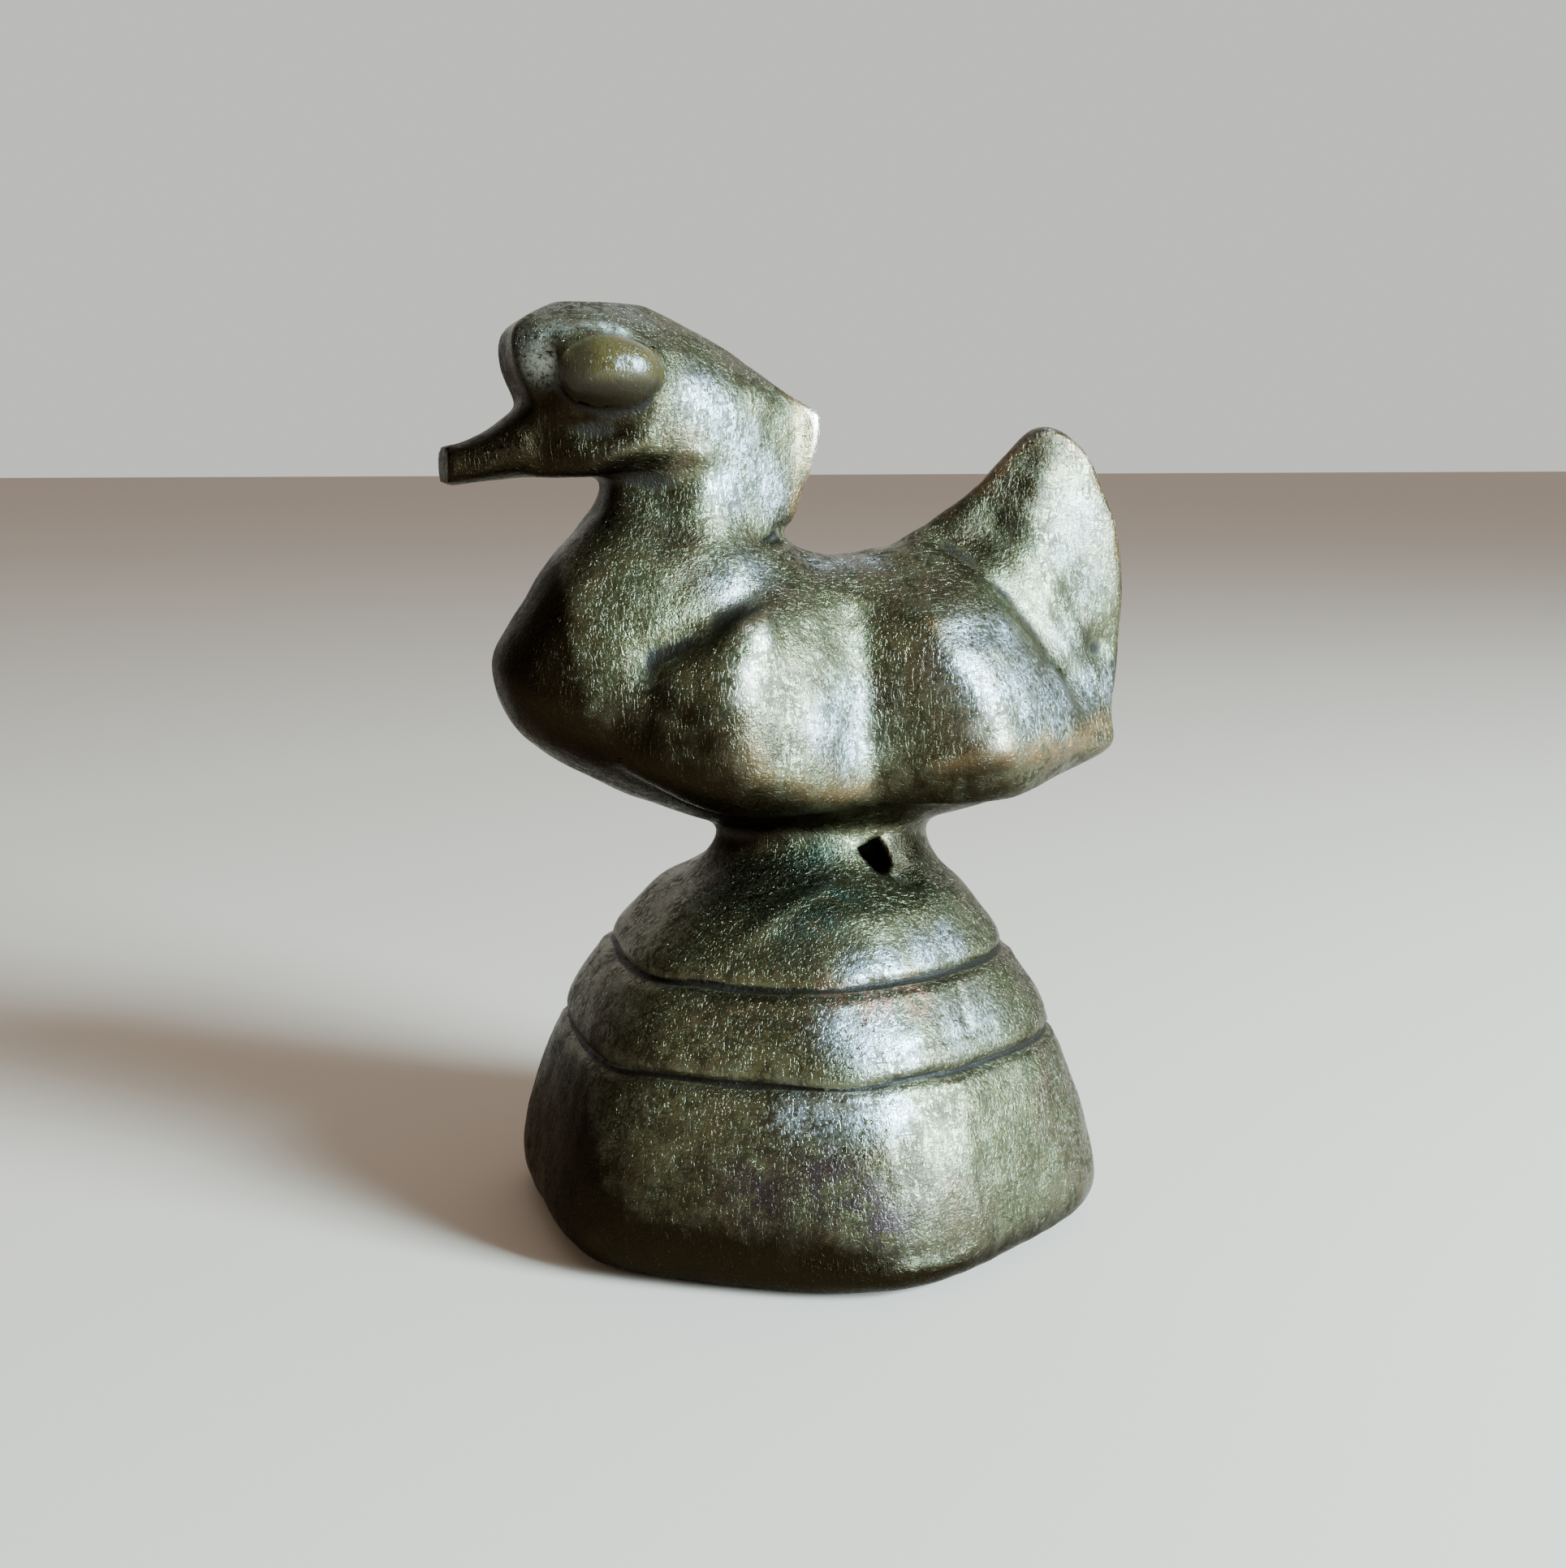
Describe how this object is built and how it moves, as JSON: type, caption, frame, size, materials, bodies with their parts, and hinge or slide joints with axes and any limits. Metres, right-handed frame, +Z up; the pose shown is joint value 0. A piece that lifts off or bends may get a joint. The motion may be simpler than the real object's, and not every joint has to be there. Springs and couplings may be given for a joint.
{
  "type": "opium weight",
  "caption": "Solid bronze market weight shaped as a crested duck on a short stem over a hexagonal stepped foot, set on a balance pan to weigh goods.",
  "frame": {"origin": "centre of the foot's flat underside", "axes": "+Z up, -Y towards the bill, +X to the bird's left flank"},
  "size_m": [0.034, 0.0394, 0.0505],
  "materials": {
    "bronze": "dark green-brown patina, satin, worn to golden bronze on ridges and edges"
  },
  "bodies": {
    "root": {"base_foot": "bronze", "base_band": "bronze", "base_cap": "bronze", "stem": "bronze", "trunk": "bronze", "left_wing": "bronze", "right_wing": "bronze", "left_wing_tip": "bronze", "right_wing_tip": "bronze", "tail_fan": "bronze", "neck": "bronze", "head": "bronze", "crest": "bronze", "bill": "bronze", "left_eye": "bronze", "right_eye": "bronze"}
  },
  "joints": []
}
